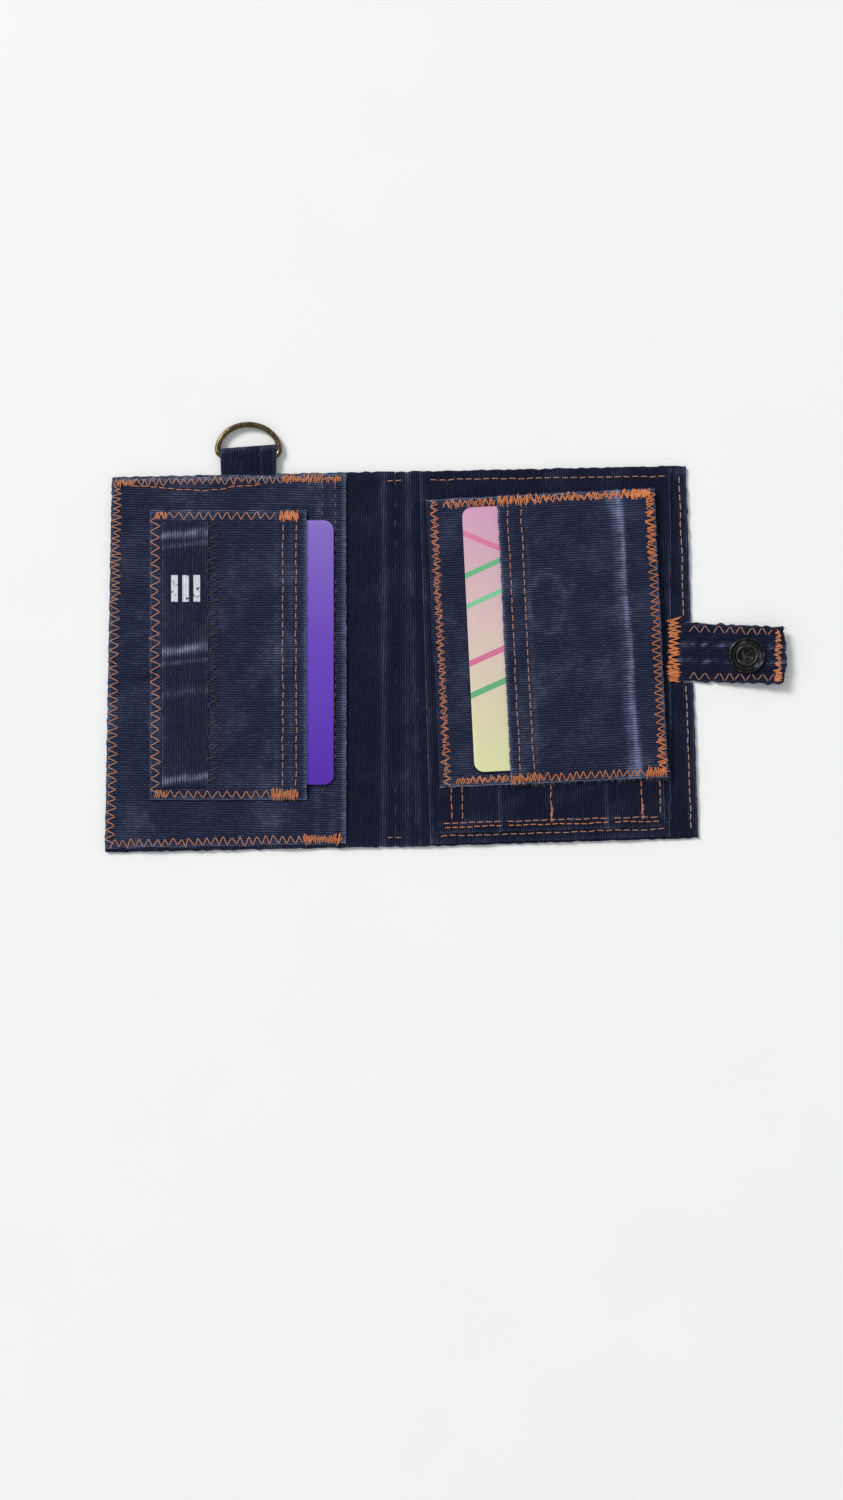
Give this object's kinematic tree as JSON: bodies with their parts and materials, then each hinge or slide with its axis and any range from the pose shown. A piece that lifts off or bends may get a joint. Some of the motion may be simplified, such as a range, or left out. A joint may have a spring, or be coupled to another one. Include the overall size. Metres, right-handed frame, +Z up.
{
  "type": "trifold wallet",
  "caption": "Hand-sewn denim card wallet that folds round a spine, with pockets, a page-like inner leaf, a D-ring loop and a snap strap.",
  "frame": {"origin": "middle of the spine's underside, on the surface that the open wallet lies on", "axes": "+X across the panels towards the strap, +Y along the folds towards the ring, +Z up from the surface"},
  "size_m": [0.2212, 0.1399, 0.0044],
  "materials": {
    "denim": "dark navy denim, fine horizontal or upright rib, rough",
    "worn_denim": "faded navy denim with pale worn bands",
    "orange_thread": "copper-orange topstitching thread, slightly glossy",
    "navy_thread": "dark navy thread",
    "violet_card": "printed card, satin, light violet to deep purple",
    "pastel_card": "printed card, satin, pink to cream with plain bands",
    "gunmetal": "dark plated snap, glossy",
    "spring_steel": "bright spring wire",
    "old_brass": "antique brass wire, dark with bright highlights"
  },
  "bodies": {
    "right_panel": {"shell_right": "denim", "lining_right": "denim", "inner_panel": "denim", "coin_pocket": "denim", "strap_anchor": "denim", "strap_bartack": "orange_thread", "stitch_right_top": "orange_thread", "stitch_right_bottom": "orange_thread", "stitch_right_edge_upper": "orange_thread", "stitch_right_edge_lower": "orange_thread", "coin_pocket_stitch_1": "orange_thread", "coin_pocket_stitch_2": "orange_thread", "coin_pocket_stitch_3": "orange_thread", "coin_pocket_foot_stitch_1": "orange_thread", "coin_pocket_foot_stitch_2": "orange_thread", "coin_pocket_foot_stitch_3": "orange_thread"},
    "spine": {"shell_spine": "denim", "lining_spine": "denim", "stitch_spine_top": "orange_thread", "stitch_spine_bottom": "orange_thread"},
    "left_panel": {"shell_left": "denim", "lining_left": "denim", "outer_pocket": "denim", "outer_pocket_zigzag": "orange_thread", "outer_pocket_hem_stitch_1": "orange_thread", "outer_pocket_hem_stitch_2": "orange_thread", "card_pocket": "denim", "card_pocket_zigzag": "orange_thread", "card_pocket_hem_stitch_1": "orange_thread", "card_pocket_hem_stitch_2": "orange_thread", "waistband_patch": "worn_denim", "waistband_patch_zigzag": "navy_thread", "snap_stud": "gunmetal", "snap_post": "gunmetal", "ring_loop": "denim"},
    "left_card": {"left_card": "violet_card"},
    "ring": {"d_ring": "old_brass"},
    "leaf_spine": {"leaf_spine": "denim", "leaf_spine_zigzag": "orange_thread"},
    "leaf": {"leaf_page": "denim", "leaf_pocket": "denim", "leaf_pocket_zigzag": "orange_thread", "leaf_page_zigzag_top": "orange_thread", "leaf_page_zigzag_bottom": "orange_thread", "leaf_pocket_hem_stitch_1": "orange_thread", "leaf_pocket_hem_stitch_2": "orange_thread"},
    "right_card": {"right_card": "pastel_card"},
    "strap_bridge": {"strap_bridge_back": "denim", "strap_bridge_face": "denim", "strap_bridge_zigzag_top": "orange_thread", "strap_bridge_zigzag_bottom": "orange_thread"},
    "strap_tip": {"strap_tip_back": "denim", "strap_tip_face": "denim", "strap_tip_zigzag_top": "orange_thread", "strap_tip_zigzag_bottom": "orange_thread", "strap_tip_bartack": "orange_thread", "snap_cap": "gunmetal", "snap_socket": "gunmetal", "socket_spring": "spring_steel"}
  },
  "joints": [
    {"name": "spine_fold", "type": "hinge", "parent": "right_panel", "child": "spine", "pos_m": [0.0039, 0, 0.00025], "axis": [0, 1, 0], "range_deg": [0, 90]},
    {"name": "cover_fold", "type": "hinge", "parent": "spine", "child": "left_panel", "pos_m": [-0.0039, 0, 0.00025], "axis": [0, 1, 0], "range_deg": [0, 90]},
    {"name": "left_card_slide", "type": "slide", "parent": "left_panel", "child": "left_card", "axis": [-1, 0, 0], "range_m": [-0.027, 0]},
    {"name": "ring_swing", "type": "hinge", "parent": "left_panel", "child": "ring", "pos_m": [-0.0477, 0.0661, 0.0014], "axis": [-1, 0, 0], "range_deg": [-135, 0]},
    {"name": "leaf_turn", "type": "hinge", "parent": "right_panel", "child": "leaf_spine", "pos_m": [0.01253, 0.00492, 0.00265], "axis": [-0.0489, 0.9988, 0], "range_deg": [-90, 0]},
    {"name": "leaf_turn_over", "type": "hinge", "parent": "leaf_spine", "child": "leaf", "pos_m": [0.01673, 0.00513, 0.00265], "axis": [-0.0489, 0.9988, 0], "range_deg": [-90, 0]},
    {"name": "right_card_slide", "type": "slide", "parent": "leaf", "child": "right_card", "axis": [-0.9988, -0.0489, 0], "range_m": [0, 0.015]},
    {"name": "strap_fold", "type": "hinge", "parent": "right_panel", "child": "strap_bridge", "pos_m": [0.0943, 0, 0.00055], "axis": [0, -1, 0], "range_deg": [0, 90]},
    {"name": "strap_wrap", "type": "hinge", "parent": "strap_bridge", "child": "strap_tip", "pos_m": [0.10283, 0, 0.00055], "axis": [0, -1, 0], "range_deg": [0, 83]}
  ],
  "couplings": [
    {"joint": "cover_fold", "follows": "spine_fold", "ratio": 1},
    {"joint": "leaf_turn_over", "follows": "leaf_turn", "ratio": 1},
    {"joint": "strap_wrap", "follows": "strap_fold", "ratio": 0.92222}
  ]
}
